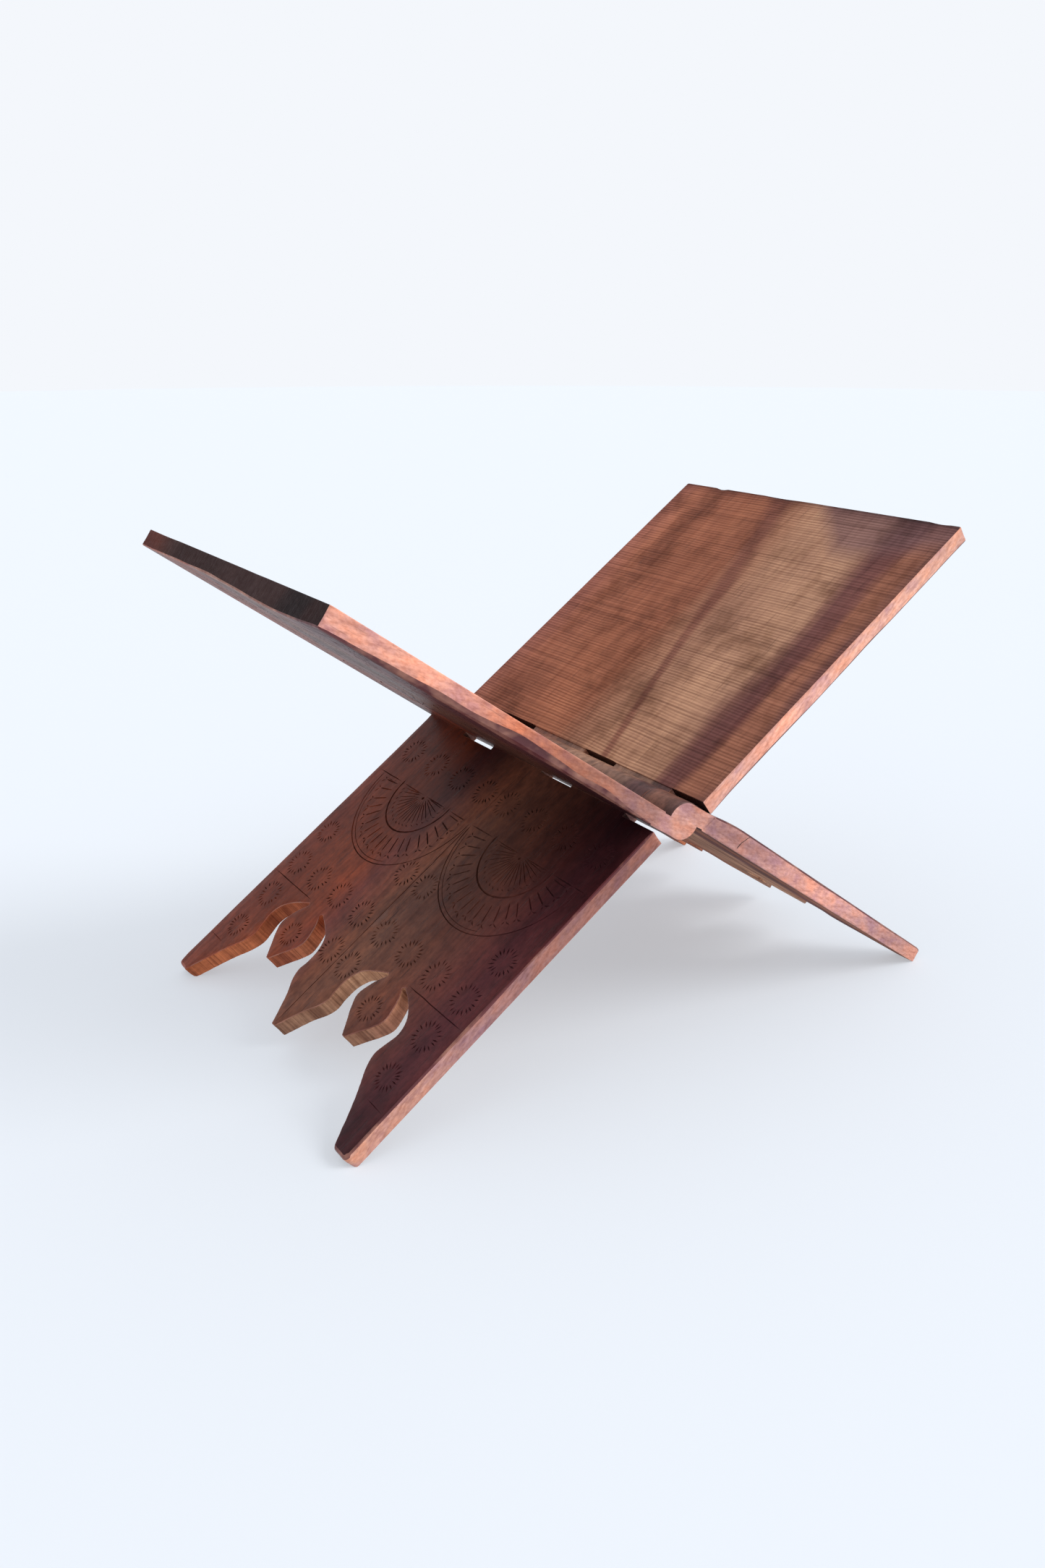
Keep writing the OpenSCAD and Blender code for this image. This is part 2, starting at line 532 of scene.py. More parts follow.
class Leaf:
    """One leaf's mesh. flip is -1 for the left leaf, whose wing lies at -m."""

    def __init__(self, flip):
        self.bm = bmesh.new()
        self.flip = flip

    def vert(self, side, y, q, depth):
        """side is 1 on the wing and -1 on the leg; depth is from the outer face inwards."""
        thick = self.extra(side, y, q) * (1 - depth / leaf_t)
        return self.raw(side * (outer + thick - depth), y, side * q)

    def extra(self, side, y, q):
        """How far the left leaf's outer face swells: a bulge at the wing's top, and a
        thicker leg just past the hinge that thins towards the feet."""
        if self.flip > 0:
            return 0.0
        if side > 0:
            rise = min(1.0, max(0.0, (q - bulge_from) / (wing_len - bulge_from)))
            return wing_bulge * rise * math.exp(-((y - bulge_y) / bulge_spread) ** 2)
        rise = math.sin(math.pi / 2 * min(1.0, max(0.0, (q - slot_depth) / swell_run)))
        return rise * (leg_swell - (leg_swell + leg_thin) * q / leg_len)

    def raw(self, m, y, s):
        """A vertex at (m, y), s along the plank: above the hinge +, below it -."""
        return self.bm.verts.new((self.flip * m * MM, y * MM, s * MM))

    def face(self, verts, material):
        """A face through the vertices, without repeats, or nothing if too few are left."""
        seen = []
        for v in verts:
            if v not in seen:
                seen.append(v)
        if len(seen) < 3:
            return
        if self.flip < 0:
            seen.reverse()
        self.bm.faces.new(seen).material_index = material


def inside(points, loop, margin):
    """Which points lie in the loop, further than the margin from it."""
    p = np.array([(v.x, v.y) for v in points])
    a = np.array([(v.x, v.y) for v in loop])
    b = np.roll(a, -1, axis=0)
    odd = np.zeros(len(p), bool)
    near = np.full(len(p), 1e9)
    for (ax, ay), (bx, by) in zip(a, b):
        if ay != by:
            crosses = (ay > p[:, 1]) != (by > p[:, 1])
            odd ^= crosses & (p[:, 0] < (bx - ax) * (p[:, 1] - ay) / (by - ay) + ax)
        length = (bx - ax) ** 2 + (by - ay) ** 2
        if length == 0:
            continue
        t = np.clip(((p[:, 0] - ax) * (bx - ax) + (p[:, 1] - ay) * (by - ay)) / length, 0, 1)
        d = np.hypot(p[:, 0] - ax - t * (bx - ax), p[:, 1] - ay - t * (by - ay))
        near = np.minimum(near, d)
    return odd & (near > margin)


def fill(leaf, side, loop, verts, points, edges, depths, base, stretch, material, groove=None):
    """Fills a loop with triangles through the points. depths gives each point's depth
    below the face, and base the face's own depth. A stretch above 1 makes triangles that
    are long across the plank. Triangles that touch a sunken point take the groove kind."""
    n = len(loop)
    flat = [Vector((p.x, p.y * stretch)) for p in list(loop) + list(points)]
    joins = [(i, (i + 1) % n) for i in range(n)] + [(a + n, b + n) for a, b in edges]
    out_at, _, out_faces, origin, _, _ = delaunay_2d_cdt(flat, joins, [], 1, 1e-6)
    made = []
    low = set()
    for j, p in enumerate(out_at):
        rim = [i for i in origin[j] if i < n]
        if rim:
            made.append(verts[rim[0]])
            continue
        depth = max((depths[i - n] for i in origin[j]), default=0.0)
        if depth > groove_from:
            low.add(j)
        made.append(leaf.vert(side, p.x, p.y / stretch, base + depth))
    for tri in out_faces:
        order = tri if base < outer / 2 else list(reversed(tri))
        kind = groove if groove is not None and low.intersection(tri) else material
        leaf.face([made[i] for i in order], kind)


def swell(y, q, seed):
    """The face's own gentle unevenness: a planed and much handled surface."""
    return 0.05 + 0.05 * noise.noise(Vector((y / 14, q / 30, seed)))


def fill_carved(leaf, side, loop, verts, cuts, seed):
    """The outer face: knife cuts, and a shaken grid between them that makes the surface
    slightly uneven."""
    ok = inside(cuts.points, loop, 0.25)
    points, depths, index = [], [], {}
    for i, p in enumerate(cuts.points):
        if ok[i]:
            index[i] = len(points)
            points.append(p)
            depths.append(cuts.sunk.get(i, 0.0) + swell(p.x, p.y, seed) * 0.5)
    edges = [(index[a], index[b]) for a, b in cuts.edges if a in index and b in index]
    grid = []
    shake = 1.4
    clear = 1.2
    for i in range(int(leg_len / carved_step) + 1):
        for j in range(int(width / carved_step) + 1):
            grid.append(Vector((j * carved_step - half_w + random.uniform(-shake, shake),
                                i * carved_step + random.uniform(-shake, shake))))
    keep = inside(grid, loop, 1.0)
    taken = np.array([(p.x, p.y) for p in points])
    for i, p in enumerate(grid):
        if keep[i] and np.min(np.hypot(taken[:, 0] - p.x, taken[:, 1] - p.y)) > clear:
            points.append(p)
            depths.append(swell(p.x, p.y, seed))
    fill(leaf, side, loop, verts, points, edges, depths, 0.0, 1.0, FACE, GROOVE)


def fill_sawn(leaf, side, loop, verts, seed):
    """The inner face, as the pit saw left it: every other row of points is a hollow, which
    runs along the hinge, and the rows drift and fade in places."""
    grid, hollows = [], []
    for i in range(1, int(leg_len / saw_pitch)):
        for j in range(int(width / sawn_step) + 1):
            y = j * sawn_step - half_w + 1.3 * (i % 2)
            drift = 0.7 * noise.noise(Vector((y / 60, i * saw_pitch / 25, seed)))
            grid.append(Vector((y, i * saw_pitch + drift)))
            strength = 0.75 + 0.5 * noise.noise(Vector((y / 25, i / 9, seed + 3)))
            hollows.append((0.13 * (i % 2) - 0.05) * max(0.15, strength)
                           + 0.06 * noise.noise(Vector((y / 20, i * saw_pitch / 12, seed + 8))))
    keep = inside(grid, loop, 0.9)
    points = [p for i, p in enumerate(grid) if keep[i]]
    depths = [-d for i, d in enumerate(hollows) if keep[i]]
    fill(leaf, side, loop, verts, points, [], depths, leaf_t, 4.5, SAWN)


def plate(leaf, side, out, cuts, seed, chips=()):
    """A wing or a leg. Gives back the column of vertices at each outline point, from the
    outer face to the inner one, for the knuckles to join on to."""
    dirs = inward(out)
    roughen(out, dirs, seed, chips)
    n = len(out.at)
    columns = []
    for i, p in enumerate(out.at):
        bevel = out.bevel[i]
        inner = min(inner_ease, bevel)
        steps = [(bevel, 0.0), (0.3 * bevel, 0.3 * bevel), (0.0, bevel),
                 (0.0, leaf_t - inner), (inner, leaf_t)]
        if bevel == 0:
            steps = [(0.0, 0.0), (0.0, leaf_t)]
        column = [leaf.vert(side, *(p + dirs[i] * inset), depth) for inset, depth in steps]
        if bevel:
            wobble = 0.06 + abs(wander(p.x, p.y, seed + 11, 0.12))
            column.insert(3, leaf.vert(side, *(p + dirs[i] * wobble), leaf_t * 0.5))
        columns.append(column)
    for i, kind in enumerate(out.kind):
        if kind != "open":
            wall(leaf, columns[i], columns[(i + 1) % n], WALL[kind])
    loop_out = [out.at[i] + dirs[i] * out.bevel[i] for i in range(n)]
    loop_in = [out.at[i] + dirs[i] * min(inner_ease, out.bevel[i]) for i in range(n)]
    fill_carved(leaf, side, loop_out, [c[0] for c in columns], cuts, seed)
    fill_sawn(leaf, side, loop_in, [c[-1] for c in columns], seed)
    return columns


def wall(leaf, a, b, material):
    """The strip of faces between two columns. Beside a knuckle one of them has only its two
    ends, and then the strip is one face. The bevel's faces are worn."""
    if len(a) == len(b):
        for k in range(len(a) - 1):
            kind = WORN if len(a) > 3 and k < 2 else material
            leaf.face([a[k], a[k + 1], b[k + 1], b[k]], kind)
    else:
        leaf.face(a + b[::-1], material)


def hinge_columns(out, columns, low, high):
    """The plate's outer and inner vertices along one open stretch of its hinge side."""
    found = {}
    for p, column in zip(out.at, columns):
        if on_hinge_side(p, low, high):
            found[round(p.x, 3)] = (column[0], column[-1])
    return [(y, *found[y]) for y in sorted(found)]


def profile(y, shrink):
    """One side of a knuckle's section, from the wing's outer face to the leg's inner face,
    as (m, s) points between the two plates."""
    r = outer - shrink
    worn = max(0.0, 0.12 * noise.noise(Vector((y / 7, 3.1, 0.4))))
    points = [(outer - skin - shrink * 0.5, slot_depth * 0.6), (r - skin, slot_depth * 0.25)]
    inner = half_kerf + relief
    end = math.pi / 2 + math.asin(inner / outer)
    for i in range(arc_steps + 1):
        a = end * i / arc_steps
        rubbed = r - worn * math.sin(a)
        points.append((rubbed * math.cos(a), -rubbed * math.sin(a)))
    points.append((-inner - shrink * 0.5, -slot_depth + 0.4))
    return points


def knuckle(leaf, top, bottom):
    """Joins wing and leg with one knuckle, as two strips from plate to plate and the two
    ends. top and bottom are the plates' columns."""
    last = len(top) - 1
    over, under = [], []
    for i, ((y, t_out, t_in), (_, b_out, b_in)) in enumerate(zip(top, bottom)):
        places = [(y, 0.0)]
        if i == 0:
            places = [(y, knuckle_ease), (y + knuckle_ease, 0.0)]
        if i == last:
            places = [(y - knuckle_ease, 0.0), (y, knuckle_ease)]
        for at, shrink in places:
            points = profile(at, shrink)
            over.append([t_out] + [leaf.raw(m, at, s) for m, s in points] + [b_in])
            under.append([b_out] + [leaf.raw(-m, at, -s) for m, s in points] + [t_in])
    for strip in (over, under):
        for a, b in zip(strip, strip[1:]):
            for k in range(len(a) - 1):
                leaf.face([a[k], a[k + 1], b[k + 1], b[k]], KNUCKLE)
    for k, turn in ((0, False), (-1, True)):
        ring = over[k] + under[k]
        leaf.face(ring[::-1] if turn else ring, EDGE)


def build_leaf(name, flip, own, slack, near_ease, chips, seed):
    """The whole leaf as one closed mesh. own is the knuckles' ranges, and slack the extra
    depth of the leg's slots."""
    random.seed(seed)
    leaf = Leaf(flip)
    wing = wing_outline(own, near_ease)
    leg = leg_outline(own, slack)
    wing_columns = plate(leaf, 1, wing, wing_carving(), seed, chips)
    leg_columns = plate(leaf, -1, leg, leg_carving(), seed + 0.5)
    for low, high in own:
        knuckle(leaf, hinge_columns(wing, wing_columns, low, high),
                hinge_columns(leg, leg_columns, low, high))
    bmesh.ops.remove_doubles(leaf.bm, verts=leaf.bm.verts, dist=0.002 * MM)
    bmesh.ops.recalc_face_normals(leaf.bm, faces=leaf.bm.faces)
    lean = Matrix.Translation(Vector((0, 0, hinge_at.z))) @ Matrix.Rotation(flip * tilt, 4, "Y")
    settle(leaf.bm, lean)
    return leaf_object(name, leaf.bm, lean)


def leaf_object(name, bm, lean):
    """The finished mesh as an object, leaned over on the hinge axis."""
    open_edges = sum(1 for e in bm.edges if len(e.link_faces) != 2)
    print(name, len(bm.verts), "vertices", len(bm.faces), "faces", open_edges, "open edges")
    mesh = bpy.data.meshes.new(name)
    bm.to_mesh(mesh)
    bm.free()
    for poly in mesh.polygons:
        poly.use_smooth = True
    mesh.set_sharp_from_angle(angle=math.radians(28))
    for material in MATERIALS:
        mesh.materials.append(material)
    obj = bpy.data.objects.new(name, mesh)
    bpy.context.scene.collection.objects.link(obj)
    obj.matrix_world = lean
    return obj


def settle(bm, lean):
    """Wears the foot tips flat where they would go below the floor."""
    back = lean.inverted()
    for v in bm.verts:
        p = lean @ v.co
        if p.z < 0:
            v.co = back @ Vector((p.x, p.y, 0))


# ---------------------------------------------------------------- materials

class Nodes:
    """Short calls for building a material's nodes."""

    def __init__(self, name):
        self.material = bpy.data.materials.new(name)
        self.material.use_nodes = True
        self.tree = self.material.node_tree
        self.shader = self.tree.nodes["Principled BSDF"]

    def add(self, kind, inputs, **settings):
        n = self.tree.nodes.new(kind)
        for key, value in settings.items():
            setattr(n, key, value)
        for key, value in inputs.items():
            self.put(n.inputs[key], value)
        return n

    def put(self, socket, value):
        if isinstance(value, bpy.types.NodeSocket):
            self.tree.links.new(value, socket)
        else:
            socket.default_value = value

    def math(self, how, a, b=0.0):
        return self.add("ShaderNodeMath", {0: a, 1: b}, operation=how).outputs[0]

    def weigh(self, a, weight_a, b, weight_b):
        """A weighted sum."""
        return self.math("ADD", self.math("MULTIPLY", a, weight_a),
                         self.math("MULTIPLY", b, weight_b))

    def mix(self, how, fac, a, b):
        n = self.add("ShaderNodeMix", {}, data_type="RGBA", blend_type=how)
        self.put(n.inputs[0], fac)
        self.put(n.inputs[6], a)
        self.put(n.inputs[7], b)
        return n.outputs[2]

    def ramp(self, value, stops):
        n = self.add("ShaderNodeValToRGB", {0: value})
        points = n.color_ramp.elements
        while len(points) < len(stops):
            points.new(0.5)
        for point, (at, colour) in zip(points, stops):
            point.position = at
            point.color = (*colour, 1)
        return n.outputs[0]

    def grey(self, value, low, high):
        """0 at low, 1 at high."""
        return self.add("ShaderNodeMapRange", {0: value, 1: low, 2: high}).outputs[0]


class Wood(Nodes):
    """A material with the plank's own figure. The figure is worked out in the plank's frame,
    with x across the thickness, y along the hinge and s along the plank, in mm, so that it
    runs on through both leaves. The finishes below go on from its colour, grain and pores."""

    def __init__(self, name, bands, contrast, with_streaks=False):
        super().__init__(name)
        self.where = self.add("ShaderNodeTexCoord", {}).outputs["Object"]
        in_mm = self.add("ShaderNodeVectorMath", {0: self.where, 1: (1 / MM,) * 3},
                         operation="MULTIPLY")
        self.x, self.y, self.s = self.add("ShaderNodeSeparateXYZ", {0: in_mm.outputs[0]}).outputs
        across = self.warped()
        self.colour = self.ramp(self.grey(across, -half_w, half_w), bands)
        if with_streaks:
            self.streaks(self.math("MULTIPLY", self.math("ADD", across, self.y), 0.5))
        self.grain = self.noise((420, 420, 14), 4.0, 0.6)
        self.pores = self.grey(self.noise((1300, 1300, 50), 3.0, 0.6), 0.6, 0.7)
        low, high = 1 - 0.45 * contrast, 1 + 0.35 * contrast
        self.tint(self.grain, [
            (0.28, (low, low * 0.96, low * 0.96)), (0.5, (1, 1, 1)), (0.72, (high, high, high * 0.97))])
        self.tint(self.noise((26, 26, 12), 3.0, 0.6), [
            (0.3, (0.78, 0.72, 0.74)), (0.7, (1.2, 1.2, 1.16))])

    def noise(self, stretch, detail=3.0, rough=0.55, where=None):
        """Noise that runs through the plank. stretch is how fast it changes along x, y and s."""
        m = self.add("ShaderNodeMapping", {0: self.where if where is None else where,
                                              3: stretch})
        n = self.add("ShaderNodeTexNoise", {0: m.outputs[0], "Scale": 1.0,
                                            "Detail": detail, "Roughness": rough})
        return n.outputs[0]

    def warped(self):
        """y with the slow wander of the plank's grain."""
        slow = self.math("SUBTRACT", self.noise((30, 16, 7), 2.0), 0.5)
        quick = self.math("SUBTRACT", self.noise((70, 90, 16)), 0.5)
        return self.math("ADD", self.y, self.weigh(slow, 26.0, quick, 9.0))

    def stain(self, colour, mask=1.0):
        """Multiplies the wood by a colour, as far as the mask says."""
        self.colour = self.mix("MULTIPLY", mask, self.colour, colour)

    def tint(self, value, stops):
        """Multiplies the wood by a ramp over the value."""
        self.stain(self.ramp(value, stops))

    def cover(self, mask, colour):
        """Paints a colour over the wood, as far as the mask says."""
        self.colour = self.mix("MIX", mask, self.colour, (*colour, 1))

    def streaks(self, y):
        """Two marks: a dark streak that slants across the bands, and a purple wedge that
        points down from the wing's top."""
        middle = self.math("ADD", self.math("MULTIPLY", self.s, streak_slope), streak_y)
        off = self.math("ABSOLUTE", self.math("SUBTRACT", y, middle))
        # half the streak's width, which grows towards the wing's top
        half = self.math("ADD", self.math("MULTIPLY", self.math("MAXIMUM", self.s, 60.0), 0.045), 0.6)
        mask = self.grey(self.math("DIVIDE", off, half), 1.15, 0.35)
        self.cover(self.math("MULTIPLY", mask, 0.75), DARK_STREAK)
        far = self.math("MAXIMUM", self.math("SUBTRACT", y, wedge_ys[1]), 0.0)
        near = self.math("MAXIMUM", self.math("SUBTRACT", wedge_ys[0], y), 0.0)
        above = self.math("SUBTRACT", self.math("SUBTRACT", self.s, wedge_s),
                          self.weigh(far, 1.0, near, 0.35))
        wedge = self.grey(above, 0.0, 14.0)
        self.cover(self.math("MULTIPLY", wedge, 0.8), PURPLE_TOP)

    def finish(self, height, rough, strength, gloss=0.35):
        """Joins the colour, relief and roughness up to the shader."""
        bump = self.add("ShaderNodeBump", {"Height": height, "Distance": 0.4 * MM,
                                           "Strength": strength})
        self.put(self.shader.inputs["Normal"], bump.outputs[0])
        self.put(self.shader.inputs["Base Color"], self.colour)
        self.put(self.shader.inputs["Roughness"], self.add("ShaderNodeMapRange", {
            0: self.grain, 1: 0.25, 2: 0.75, 3: rough + 0.12, 4: rough - 0.1}).outputs[0])
        self.shader.inputs["Specular IOR Level"].default_value = gloss
        return self.material


def band(y, colour):
    """A stop on a colour ramp that runs across the plank, y in mm."""
    return ((y + half_w) / width, colour)


def reach(s, colour):
    """A stop on a colour ramp that runs along the plank from the feet to the wing's top."""
    return ((s + leg_len) / (leg_len + wing_len), colour)


# the plank's colours across its width, on the sawn faces inside
INNER_BANDS = [
    band(-100, (0.150, 0.065, 0.055)), band(-95, (0.240, 0.100, 0.065)),
    band(-86, (0.290, 0.125, 0.080)), band(-80, (0.140, 0.054, 0.049)),
    band(-71, (0.132, 0.053, 0.050)), band(-66, (0.215, 0.105, 0.080)),
    band(-62, (0.360, 0.205, 0.138)), band(-42, (0.430, 0.250, 0.165)),
    band(-15, (0.385, 0.215, 0.140)), band(4, (0.330, 0.160, 0.100)),
    band(16, (0.310, 0.122, 0.070)), band(45, (0.310, 0.118, 0.068)),
    band(68, (0.250, 0.092, 0.055)), band(84, (0.330, 0.125, 0.075)),
    band(100, (0.290, 0.110, 0.080)),
]
# on the oiled, handled faces outside
OUTER_BANDS = [
    band(-100, (0.072, 0.017, 0.019)), band(-84, (0.062, 0.013, 0.017)),
    band(-66, (0.106, 0.029, 0.022)), band(-45, (0.138, 0.046, 0.027)),
    band(-10, (0.152, 0.060, 0.036)), band(12, (0.150, 0.050, 0.027)),
    band(30, (0.118, 0.030, 0.024)), band(44, (0.205, 0.044, 0.017)),
    band(70, (0.215, 0.045, 0.017)), band(100, (0.200, 0.048, 0.029)),
]
# on the fresh-sawn walls of the cut-outs
FRET_BANDS = [
    band(-100, (0.38, 0.15, 0.09)), band(-70, (0.36, 0.15, 0.10)), band(-50, (0.40, 0.21, 0.12)),
    band(-20, (0.46, 0.26, 0.15)), band(15, (0.38, 0.20, 0.11)), band(40, (0.44, 0.13, 0.055)),
    band(100, (0.50, 0.15, 0.055)),
]
# and on the two long edges, at either end of this ramp
EDGE_BANDS = [
    band(-100, (0.66, 0.345, 0.250)), band(-60, (0.42, 0.20, 0.13)), band(60, (0.42, 0.20, 0.13)),
    band(100, (0.62, 0.32, 0.22)),
]
# the long edges' tone along each diagonal of the X: the right leaf's leg with the left leaf's wing, and
# the other way. It is partly the wood's own mottling and partly painted shade, mostly darker towards
# the hinge except at the knuckle ends
RIGHT_TO_LEFT = [
    reach(-185, (1.0, 1.0, 1.0)), reach(-130, (0.55, 0.55, 0.72)), reach(-80, (0.42, 0.38, 0.46)),
    reach(-16, (0.42, 0.34, 0.37)), reach(-12, (0.95, 0.95, 1.05)), reach(12, (0.90, 0.88, 0.95)),
    reach(18, (0.50, 0.50, 0.62)), reach(60, (0.55, 0.43, 0.38)), reach(100, (0.83, 0.56, 0.44)),
    reach(140, (1.22, 1.12, 1.16)), reach(190, (1.30, 1.24, 1.28)),
]
LEFT_TO_RIGHT = [
    reach(-190, (0.94, 0.96, 1.10)), reach(-150, (0.80, 0.83, 1.05)),
    reach(-100, (1.10, 1.02, 1.12)), reach(-50, (0.70, 0.72, 0.92)),
    reach(-15, (0.62, 0.62, 0.74)), reach(-12, (0.95, 0.95, 1.05)), reach(12, (0.95, 0.98, 1.10)),
    reach(60, (1.20, 1.22, 1.36)), reach(190, (1.12, 1.19, 1.25)),
]
DARK_STREAK = (0.190, 0.070, 0.052)
PURPLE_TOP = (0.165, 0.088, 0.092)


def carved_face():
    """The oiled outer faces: dark, satin, with fine pores, and with painted shade that darkens them
    towards the hinge.
    """
    n = Wood("carved_face", OUTER_BANDS, 0.35)
    n.tint(n.noise((130, 130, 75), 5.0, 0.65), [
        (0.34, (0.76, 0.74, 0.78)), (0.50, (1.0, 1.0, 1.0)), (0.66, (1.20, 1.17, 1.12))])
    n.tint(n.noise((480, 480, 300), 3.0, 0.6), [
        (0.36, (0.84, 0.82, 0.84)), (0.50, (1.0, 1.0, 1.0)), (0.64, (1.13, 1.12, 1.10))])
    n.tint(n.noise((17, 17, 11), 3.0, 0.6), [
        (0.36, (0.66, 0.60, 0.66)), (0.50, (0.98, 0.98, 1.0)), (0.64, (1.28, 1.20, 1.12))])
    # painted shade: the outer faces grow darker towards the hinge, where the leaves cross
    n.tint(n.grey(n.math("ABSOLUTE", n.s), 0, 130), [
        (0.0, (0.48, 0.42, 0.45)), (0.3, (0.66, 0.61, 0.62)), (0.75, (1, 1, 1))])
    n.cover(n.math("MULTIPLY", n.pores, 0.55), (0.018, 0.007, 0.007))
    height = n.weigh(n.grain, 0.3, n.pores, -0.5)
    return n.finish(height, rough=0.41, strength=0.35, gloss=0.12)


def knuckle_wood():
    """Carved knuckles, rubbed smooth where they turn against each other."""
    n = Wood("knuckle", INNER_BANDS, 0.8)
    n.stain((0.62, 0.56, 0.54, 1))
    rub = n.noise((40, 160, 160), 3.0, 0.6)
    n.tint(rub, [(0.35, (0.6, 0.55, 0.55)), (0.6, (1.1, 1.1, 1.1))])
    height = n.weigh(rub, 1.2, n.pores, -0.5)
    return n.finish(height, rough=0.5, strength=0.4, gloss=0.3)


def sawn_inside():
    """The pit-sawn inner faces: long ridges along the hinge, with painted light and shade in stripes
    along them, dirt in patches, and a dark rim of painted shade at the wing's top."""
    n = Wood("sawn_face", INNER_BANDS, 0.22, True)
    uneven = n.weigh(n.noise((40, 4, 330), 1.0, 0.5), 0.24, n.noise((60, 7, 980), 1.0, 0.5), 0.36)
    drift = n.math("MULTIPLY", n.noise((40, 14, 22), 2.0), 5.0)
    turns = n.math("MULTIPLY", n.math("ADD", n.s, drift), math.tau / (2 * saw_pitch))
    ridges = n.math("MULTIPLY", n.math("SINE", turns), 0.075)
    lines = n.math("ADD", n.math("ADD", ridges, 0.2), uneven)
    # painted light and shade: the ridge values also lighten and darken the colour in stripes, as light
    # falls across their relief
    n.tint(lines, [
        (0.36, (0.66, 0.58, 0.55)), (0.48, (0.94, 0.88, 0.84)), (0.61, (1.22, 1.18, 1.14))])
    n.tint(n.noise((34, 34, 26), 4.0, 0.65), [
        (0.34, (0.62, 0.55, 0.50)), (0.50, (1.0, 0.98, 0.96)), (0.66, (1.12, 1.12, 1.10))])
    # painted shade: a dark rim along the wing's top
    n.tint(n.grey(n.s, wing_len - 7.5, wing_len), [
        (0.0, (1, 1, 1)), (0.6, (0.85, 0.82, 0.85)), (1.0, (0.35, 0.31, 0.35))])
    n.cover(n.math("MULTIPLY", n.pores, 0.35), (0.04, 0.016, 0.014))
    height = n.weigh(lines, 2.2, n.pores, -0.3)
    return n.finish(height, rough=0.7, strength=0.7, gloss=0.14)


def hairline(n):
    """A mask for the bowed hairline crack across the near edge of the left leaf's leg."""
    bow = n.math("ADD", n.math("MULTIPLY", n.math("POWER", n.math("ABSOLUTE", n.x), 2.0), -0.045),
                 crack_s)
    wave = n.math("MULTIPLY", n.math("SUBTRACT", n.noise((500, 500, 500)), 0.5), 1.2)
    gap = n.math("ABSOLUTE", n.math("ADD", n.math("SUBTRACT", n.s, bow), wave))
    this_edge = n.math("MULTIPLY", n.grey(n.x, 2.0, 2.6), n.grey(n.y, 2 - half_w, 1 - half_w))
    return n.math("MULTIPLY", n.grey(gap, 0.32, 0.16), this_edge)


def long_edge():
    """The plank's two sides: salmon, with slanted lines, specks and mottling, with the wood's own tone
    and painted shade along each diagonal of the X, mostly darker towards the hinge, and a crack in the
    left leg."""
    n = Wood("long_edge", EDGE_BANDS, 0.35)
    slant = n.add("ShaderNodeVectorRotate", {"Vector": n.where, "Angle": 0.3},
                  rotation_type="Y_AXIS").outputs[0]
    n.tint(n.noise((620, 60, 75), 3.0, 0.6, slant), [
        (0.33, (0.82, 0.75, 0.73)), (0.50, (1.0, 0.98, 0.97)), (0.66, (1.10, 1.12, 1.14))])
    n.tint(n.noise((700, 700, 420), 3.0, 0.6), [
        (0.36, (0.84, 0.78, 0.76)), (0.52, (1.0, 1.0, 1.0)), (0.66, (1.08, 1.10, 1.12))])
    n.tint(n.noise((120, 120, 70), 3.0, 0.6), [
        (0.36, (0.78, 0.76, 0.92)), (0.50, (1.0, 0.98, 0.97)), (0.64, (1.16, 1.00, 0.86))])
    along = n.grey(n.s, -leg_len, wing_len)
    # partly the wood's own tone and partly painted shade, mostly darker towards the hinge
    n.stain(n.mix("MIX", n.grey(n.x, -1.5, 1.5), n.ramp(along, RIGHT_TO_LEFT),
                  n.ramp(along, LEFT_TO_RIGHT)))
    crack = hairline(n)
    n.cover(crack, (0.03, 0.012, 0.010))
    n.cover(n.math("MULTIPLY", n.pores, 0.45), (0.20, 0.075, 0.05))
    height = n.weigh(n.grain, 0.5, crack, -2.0)
    return n.finish(height, rough=0.55, strength=0.4, gloss=0.3)


def end_grain():
    """Sawn ends: darker, speckled with open pores, and near black on the wing's top, which is dark wood
    with painted shade over it, lighter towards the far corner.
    """
    n = Wood("end_grain", INNER_BANDS, 0.3)
    specks = n.noise((1500, 1500, 300), 3.0, 0.6)
    saw = n.noise((30, 700, 30), 2.0)
    # the wing's top end: dark wood with painted shade over it, lighter towards the far corner
    wing_top_tone_and_shade = n.ramp(n.grey(n.y, 50, 95), [(0.0, (0.09, 0.055, 0.075)), (1.0, (0.34, 0.20, 0.19))])
    n.stain(n.mix("MIX", n.grey(n.s, -60, 60), (0.5, 0.45, 0.46, 1), wing_top_tone_and_shade))
    n.cover(n.math("MULTIPLY", n.grey(specks, 0.56, 0.68), 0.7), (0.03, 0.013, 0.011))
    return n.finish(n.math("ADD", specks, saw), rough=0.75, strength=0.6, gloss=0.2)


def fret_sawn():
    """Walls of the cut-outs: bright wood with the saw's marks straight across the thickness,
    darker towards the tips except on the far foot."""
    n = Wood("fret_sawn", FRET_BANDS, 0.4)
    marks = n.noise((25, 900, 900), 3.0, 0.6)
    burnt = n.noise((20, 110, 110), 2.0, 0.5)
    n.tint(marks, [
        (0.34, (0.60, 0.52, 0.48)), (0.5, (0.97, 0.96, 0.95)), (0.66, (1.2, 1.2, 1.2))])
    n.tint(burnt, [(0.3, (0.55, 0.45, 0.42)), (0.5, (1, 1, 1))])
    tips = n.ramp(n.grey(n.s, -190, -140), [(0.0, (0.55, 0.50, 0.55)), (1.0, (1.15, 1.12, 1.12))])
    n.stain(tips, n.grey(n.y, 75, 45))
    return n.finish(n.math("MULTIPLY", marks, 1.6), rough=0.72, strength=0.7, gloss=0.25)


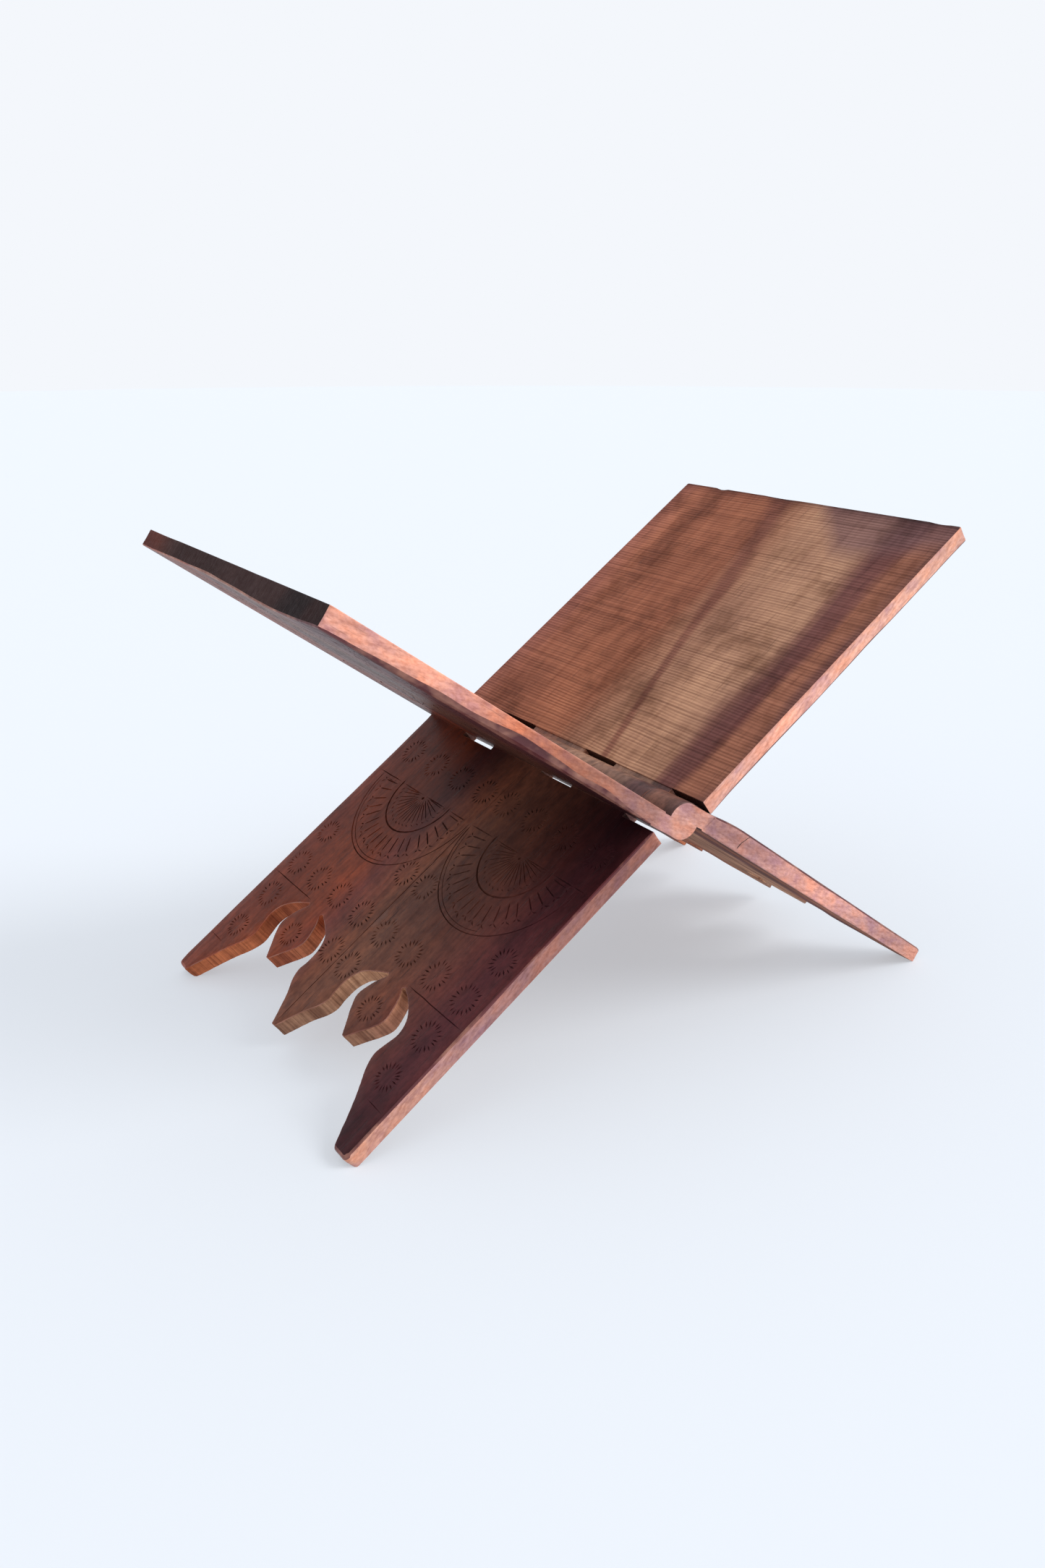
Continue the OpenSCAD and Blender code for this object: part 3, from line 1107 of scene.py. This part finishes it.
def knife_cut():
    """The knife cuts: dark with old oil and dirt, rubbed lighter in patches and towards
    the near side."""
    n = Wood("knife_cut", OUTER_BANDS, 0.5)
    dirt = n.ramp(n.grey(n.y, -75, 15), [(0.0, (0.60, 0.58, 0.62)), (1.0, (0.28, 0.25, 0.27))])
    rubbed = n.grey(n.noise((75, 75, 75), 3.0, 0.6), 0.46, 0.62)
    n.stain(n.mix("MIX", n.math("MULTIPLY", rubbed, 0.8), dirt, (0.85, 0.82, 0.82, 1)))
    return n.finish(n.grain, rough=0.85, strength=0.2, gloss=0.1)


def worn_edge():
    """Corners rubbed smooth by hands: a little lighter than the face."""
    n = Wood("worn_edge", OUTER_BANDS, 0.6)
    rub = n.noise((90, 90, 60), 3.0, 0.6)
    n.stain((1.5, 1.5, 1.5, 1))
    n.cover(n.grey(rub, 0.46, 0.70), (0.36, 0.16, 0.11))
    return n.finish(n.grain, rough=0.42, strength=0.3)


def make_materials():
    """One material for each kind of surface, in the order of the kind numbers."""
    return [carved_face(), sawn_inside(), long_edge(), end_grain(), fret_sawn(),
            knuckle_wood(), knife_cut(), worn_edge()]


# ---------------------------------------------------------------- stage

# the camera's direction in degrees, its distance and aim from the hinge in mm, and its
# focal length in picture heights
CAMERA_AZ = 32.68
CAMERA_EL = 19.99
CAMERA_DIST = 632.35
CAMERA_AIM = Vector((-19.45, 0.0, -9.38))
FOCAL_HEIGHTS = 1777.6 / 2168
# the window light's direction and breadth, in degrees
SUN_AZ = 47.0
SUN_EL = 38.0
SUN_BREADTH = 32
FLOOR_R = 6.0


def make_camera():
    """The photo's viewpoint, found by fitting the stand's corners to the picture."""
    data = bpy.data.cameras.new("camera")
    data.sensor_width = 36.0
    data.lens = FOCAL_HEIGHTS * data.sensor_width
    data.clip_start = 0.01
    data.clip_end = 20.0
    cam = bpy.data.objects.new("camera", data)
    bpy.context.scene.collection.objects.link(cam)
    az, el = math.radians(CAMERA_AZ), math.radians(CAMERA_EL)
    ahead = Vector((math.sin(az) * math.cos(el), math.cos(az) * math.cos(el), -math.sin(el)))
    cam.location = hinge_at + (CAMERA_AIM - ahead * CAMERA_DIST) * MM
    cam.rotation_euler = ahead.to_track_quat("-Z", "Y").to_euler()
    bpy.context.scene.camera = cam


def make_floor():
    """A large pale floor that glows a little, so that it runs into the bright room."""
    bm = bmesh.new()
    bmesh.ops.create_circle(bm, cap_ends=True, segments=96, radius=FLOOR_R)
    mesh = bpy.data.meshes.new("floor")
    bm.to_mesh(mesh)
    bm.free()
    floor = bpy.data.objects.new("floor", mesh)
    bpy.context.scene.collection.objects.link(floor)
    n = Nodes("pale_floor")
    n.shader.inputs["Base Color"].default_value = (0.40, 0.425, 0.455, 1)
    n.shader.inputs["Roughness"].default_value = 0.9
    n.shader.inputs["Specular IOR Level"].default_value = 0.1
    n.shader.inputs["Emission Color"].default_value = (0.905, 0.945, 1.0, 1)
    n.shader.inputs["Emission Strength"].default_value = 0.43
    mesh.materials.append(n.material)


def make_light():
    """A bright even room, and a broad window to the right of the camera."""
    world = bpy.data.worlds.new("room")
    bpy.context.scene.world = world
    world.use_nodes = True
    back = world.node_tree.nodes["Background"]
    back.inputs["Color"].default_value = (0.905, 0.93, 0.973, 1)
    back.inputs["Strength"].default_value = 1.0
    data = bpy.data.lights.new("window", "SUN")
    data.energy = 1.6
    data.angle = math.radians(SUN_BREADTH)
    data.color = (1.0, 0.99, 0.98)
    lamp = bpy.data.objects.new("window", data)
    bpy.context.scene.collection.objects.link(lamp)
    az, el = math.radians(SUN_AZ), math.radians(SUN_EL)
    toward = Vector((math.sin(az) * math.cos(el), -math.cos(az) * math.cos(el), math.sin(el)))
    lamp.rotation_euler = (-toward).to_track_quat("-Z", "Y").to_euler()
    bpy.context.scene.view_settings.view_transform = "Standard"


# ---------------------------------------------------------------- the scene

MATERIALS = make_materials()
right = build_leaf("right_leaf_wood", 1, knuckle_ranges(0), leg_slack, right_near_ease,
                   right_chips, 3)
left = build_leaf("left_leaf_wood", -1, knuckle_ranges(1), [0, 0, 0], left_near_ease,
                  left_chips, 7)
for obj, body, node, name in ((right, "right", "leaf_right", "wood_right"),
                              (left, "left", "leaf_left", "wood_left")):
    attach(obj, body)
    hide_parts(node)
make_floor()
make_light()
make_camera()
